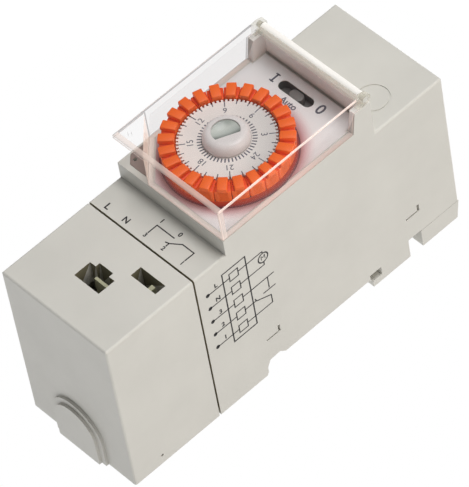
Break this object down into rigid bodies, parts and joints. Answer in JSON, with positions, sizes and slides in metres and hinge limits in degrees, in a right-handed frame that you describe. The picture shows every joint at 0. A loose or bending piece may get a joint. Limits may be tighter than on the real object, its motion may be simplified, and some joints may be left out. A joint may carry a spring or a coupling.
{
  "type": "mechanical time switch",
  "caption": "Rail-mounted mechanical time switch: grey case, hinged clear cover, a turning dial ringed by orange push-down tappets, a slide switch and a terminal cap",
  "frame": {"origin": "middle of the footprint, on the plane of the back that goes against the panel", "axes": "+X along the case away from the terminal cap, +Y across it, +Z out of the panel to the dial"},
  "size_m": [0.1096, 0.036, 0.0661],
  "materials": {
    "body_plastic": "fine moulded",
    "clear_plastic": "clear",
    "pale_plastic": "moulded",
    "orange_plastic": "moulded",
    "white_plastic": "moulded",
    "grey_plastic": "moulded",
    "dark_plastic": "moulded",
    "red_plastic": "moulded",
    "brass": "stamped",
    "steel": "plated",
    "copper": "wound copper wire"
  },
  "bodies": {
    "case": {"housing": "body_plastic", "base": "body_plastic", "terminal_cap": "body_plastic", "hinge_pin": "body_plastic", "terminal_block": "pale_plastic", "switch_case": "dark_plastic", "switch_busbars": "brass", "motor_busbars": "brass", "upper_plate": "brass", "lower_plate": "brass", "plate_pillars": "brass", "wire_clamps": "steel", "terminal_screws": "steel", "movement_screws": "steel", "motor_can": "steel", "motor_cover": "steel", "lever_pin": "steel", "case_screws": "steel", "clip_spring": "steel", "motor_rotor": "steel", "motor_coil": "copper"},
    "cover": {"clear_cover": "clear_plastic"},
    "clip": {"rail_clip": "dark_plastic"},
    "slider": {"override_slider": "dark_plastic"},
    "lever": {"switch_lever": "pale_plastic"},
    "plunger": {"switch_plunger": "red_plastic"},
    "dial": {"dial_carrier": "orange_plastic", "hour_disc": "white_plastic", "dial_wheel": "brass"},
    "minute": {"minute_arbor": "steel", "minute_knob": "white_plastic", "knob_insert": "grey_plastic"},
    "transfer": {"transfer_arbor": "steel", "transfer_wheel": "brass"},
    "tappet_01": {"tappet_01": "orange_plastic"},
    "tappet_02": {"tappet_02": "orange_plastic"},
    "tappet_03": {"tappet_03": "orange_plastic"},
    "tappet_04": {"tappet_04": "orange_plastic"},
    "tappet_05": {"tappet_05": "orange_plastic"},
    "tappet_06": {"tappet_06": "orange_plastic"},
    "tappet_07": {"tappet_07": "orange_plastic"},
    "tappet_08": {"tappet_08": "orange_plastic"},
    "tappet_09": {"tappet_09": "orange_plastic"},
    "tappet_10": {"tappet_10": "orange_plastic"},
    "tappet_11": {"tappet_11": "orange_plastic"},
    "tappet_12": {"tappet_12": "orange_plastic"},
    "tappet_13": {"tappet_13": "orange_plastic"},
    "tappet_14": {"tappet_14": "orange_plastic"},
    "tappet_15": {"tappet_15": "orange_plastic"},
    "tappet_16": {"tappet_16": "orange_plastic"},
    "tappet_17": {"tappet_17": "orange_plastic"},
    "tappet_18": {"tappet_18": "orange_plastic"},
    "tappet_19": {"tappet_19": "orange_plastic"},
    "tappet_20": {"tappet_20": "orange_plastic"},
    "tappet_21": {"tappet_21": "orange_plastic"},
    "tappet_22": {"tappet_22": "orange_plastic"},
    "tappet_23": {"tappet_23": "orange_plastic"},
    "tappet_24": {"tappet_24": "orange_plastic"}
  },
  "joints": [
    {"name": "cover_hinge", "type": "hinge", "parent": "case", "child": "cover", "pos_m": [0.03155, 0, 0.0642], "axis": [0, 1, 0], "range_deg": [0, 110]},
    {"name": "dial_turn", "type": "hinge", "parent": "case", "child": "dial", "pos_m": [0.0038, 0, 0.0602], "axis": [0, 0, 1], "continuous": true},
    {"name": "transfer_turn", "type": "hinge", "parent": "case", "child": "transfer", "pos_m": [-0.0067, 0, 0.047], "axis": [0, 0, 1], "continuous": true},
    {"name": "minute_turn", "type": "hinge", "parent": "case", "child": "minute", "pos_m": [0.0038, 0, 0.062], "axis": [0, 0, 1], "continuous": true},
    {"name": "override_slide", "type": "slide", "parent": "case", "child": "slider", "axis": [0, 1, 0], "range_m": [-0.003, 0.003]},
    {"name": "clip_release", "type": "slide", "parent": "case", "child": "clip", "axis": [-1, 0, 0], "range_m": [0, 0.003], "stiffness_N_per_m": 150, "springref_m": -0.002, "deforming": ["clip_spring"]},
    {"name": "lever_tilt", "type": "hinge", "parent": "case", "child": "lever", "pos_m": [0.02805, 0.00116, 0.048], "axis": [0, -1, 0], "range_deg": [0, 3.5], "stiffness_Nm_per_rad": 0.003, "springref_deg": -2.86},
    {"name": "plunger_press", "type": "slide", "parent": "case", "child": "plunger", "axis": [0, 0, -1], "range_m": [0, 0.0006]},
    {"name": "tappet_01_press", "type": "slide", "parent": "dial", "child": "tappet_01", "axis": [0, 0, -1], "range_m": [0, 0.0012]},
    {"name": "tappet_02_press", "type": "slide", "parent": "dial", "child": "tappet_02", "axis": [0, 0, -1], "range_m": [0, 0.0012]},
    {"name": "tappet_03_press", "type": "slide", "parent": "dial", "child": "tappet_03", "axis": [0, 0, -1], "range_m": [0, 0.0012]},
    {"name": "tappet_04_press", "type": "slide", "parent": "dial", "child": "tappet_04", "axis": [0, 0, -1], "range_m": [0, 0.0012]},
    {"name": "tappet_05_press", "type": "slide", "parent": "dial", "child": "tappet_05", "axis": [0, 0, -1], "range_m": [0, 0.0012]},
    {"name": "tappet_06_press", "type": "slide", "parent": "dial", "child": "tappet_06", "axis": [0, 0, -1], "range_m": [0, 0.0012]},
    {"name": "tappet_07_press", "type": "slide", "parent": "dial", "child": "tappet_07", "axis": [0, 0, -1], "range_m": [0, 0.0012]},
    {"name": "tappet_08_press", "type": "slide", "parent": "dial", "child": "tappet_08", "axis": [0, 0, -1], "range_m": [0, 0.0012]},
    {"name": "tappet_09_press", "type": "slide", "parent": "dial", "child": "tappet_09", "axis": [0, 0, -1], "range_m": [0, 0.0012]},
    {"name": "tappet_10_press", "type": "slide", "parent": "dial", "child": "tappet_10", "axis": [0, 0, -1], "range_m": [0, 0.0012]},
    {"name": "tappet_11_press", "type": "slide", "parent": "dial", "child": "tappet_11", "axis": [0, 0, -1], "range_m": [0, 0.0012]},
    {"name": "tappet_12_press", "type": "slide", "parent": "dial", "child": "tappet_12", "axis": [0, 0, -1], "range_m": [0, 0.0012]},
    {"name": "tappet_13_press", "type": "slide", "parent": "dial", "child": "tappet_13", "axis": [0, 0, -1], "range_m": [0, 0.0012]},
    {"name": "tappet_14_press", "type": "slide", "parent": "dial", "child": "tappet_14", "axis": [0, 0, -1], "range_m": [0, 0.0012]},
    {"name": "tappet_15_press", "type": "slide", "parent": "dial", "child": "tappet_15", "axis": [0, 0, -1], "range_m": [0, 0.0012]},
    {"name": "tappet_16_press", "type": "slide", "parent": "dial", "child": "tappet_16", "axis": [0, 0, -1], "range_m": [0, 0.0012]},
    {"name": "tappet_17_press", "type": "slide", "parent": "dial", "child": "tappet_17", "axis": [0, 0, -1], "range_m": [0, 0.0012]},
    {"name": "tappet_18_press", "type": "slide", "parent": "dial", "child": "tappet_18", "axis": [0, 0, -1], "range_m": [0, 0.0012]},
    {"name": "tappet_19_press", "type": "slide", "parent": "dial", "child": "tappet_19", "axis": [0, 0, -1], "range_m": [0, 0.0012]},
    {"name": "tappet_20_press", "type": "slide", "parent": "dial", "child": "tappet_20", "axis": [0, 0, -1], "range_m": [0, 0.0012]},
    {"name": "tappet_21_press", "type": "slide", "parent": "dial", "child": "tappet_21", "axis": [0, 0, -1], "range_m": [0, 0.0012]},
    {"name": "tappet_22_press", "type": "slide", "parent": "dial", "child": "tappet_22", "axis": [0, 0, -1], "range_m": [0, 0.0012]},
    {"name": "tappet_23_press", "type": "slide", "parent": "dial", "child": "tappet_23", "axis": [0, 0, -1], "range_m": [0, 0.0012]},
    {"name": "tappet_24_press", "type": "slide", "parent": "dial", "child": "tappet_24", "axis": [0, 0, -1], "range_m": [0, 0.0012]}
  ],
  "couplings": [
    {"joint": "transfer_turn", "follows": "dial_turn", "ratio": -4},
    {"joint": "minute_turn", "follows": "dial_turn", "ratio": 24},
    {"joint": "plunger_press", "follows": "lever_tilt", "m_per_rad": 0.008}
  ]
}
